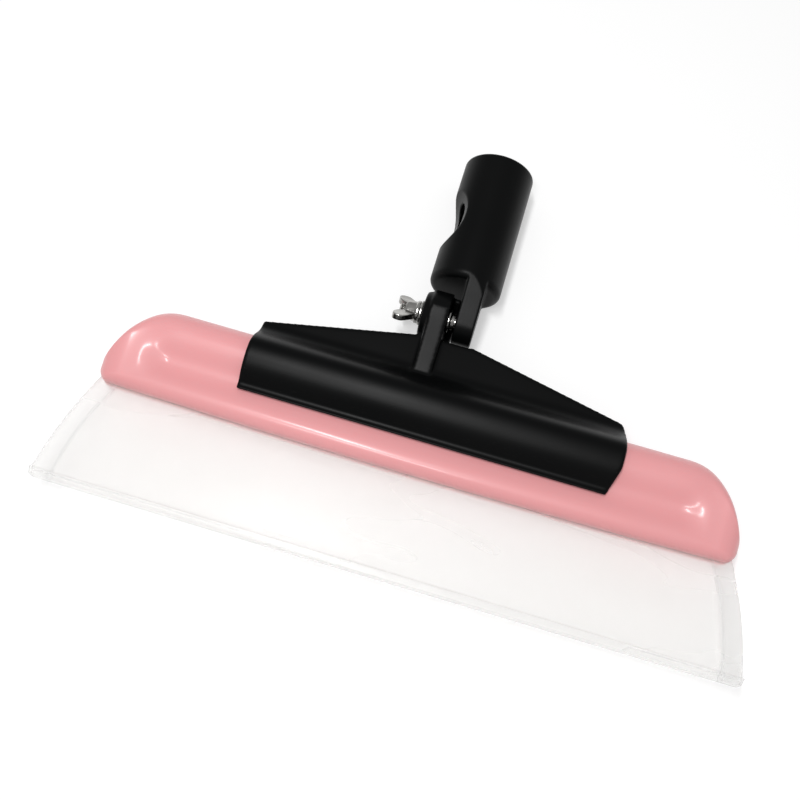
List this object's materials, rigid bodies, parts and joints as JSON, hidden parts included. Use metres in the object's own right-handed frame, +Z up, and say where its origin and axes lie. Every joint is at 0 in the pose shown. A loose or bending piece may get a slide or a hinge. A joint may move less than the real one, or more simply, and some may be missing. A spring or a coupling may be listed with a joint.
{
  "type": "window cleaning squeegee",
  "caption": "Clear silicone water-blade squeegee with a moulded handle, a clip-on saddle and a tilting pole socket clamped by a wing nut.",
  "frame": {"origin": "centre of the squeegee's footprint, on the surface it lies on", "axes": "+X along the wiping edge, +Y from the wiping edge towards the pole socket, +Z up off the surface"},
  "size_m": [0.305, 0.201, 0.0328],
  "materials": {
    "silicone": "clear, glossy, very soft",
    "pink_plastic": "pink, satin gloss, faintly translucent",
    "pin_plastic": "natural plastic, hidden",
    "black_plastic": "black, fine moulded grain",
    "zinc_steel": "bright zinc plate"
  },
  "bodies": {
    "head": {"silicone_blade": "silicone", "handle_front_shell": "pink_plastic", "handle_back_shell": "pink_plastic", "handle_pin_1": "pin_plastic", "handle_pin_2": "pin_plastic", "handle_pin_3": "pin_plastic", "handle_pin_4": "pin_plastic", "handle_pin_5": "pin_plastic"},
    "clip": {"clip_saddle": "black_plastic"},
    "pole_end": {"pole_socket": "black_plastic", "pivot_bolt": "zinc_steel", "gap_washer": "zinc_steel", "spring_washer": "zinc_steel"},
    "nut_carrier": {"nut_washer": "zinc_steel"},
    "nut": {"wing_nut": "zinc_steel"}
  },
  "joints": [
    {"name": "clip_slide", "type": "slide", "parent": "head", "child": "clip", "axis": [1, 0, 0], "range_m": [-0.025, 0.025]},
    {"name": "socket_tilt", "type": "hinge", "parent": "clip", "child": "pole_end", "pos_m": [0, 0.02, 0.0164], "axis": [1, 0, 0], "range_deg": [-80, 80]},
    {"name": "nut_travel", "type": "slide", "parent": "pole_end", "child": "nut_carrier", "axis": [-1, 0, 0], "range_m": [0, 0.00265]},
    {"name": "wing_nut_turn", "type": "hinge", "parent": "nut_carrier", "child": "nut", "pos_m": [0, 0.02, 0.0164], "axis": [-1, 0, 0], "range_deg": [0, 900]}
  ],
  "couplings": [
    {"joint": "wing_nut_turn", "follows": "nut_travel", "rad_per_m": 5936.8}
  ]
}
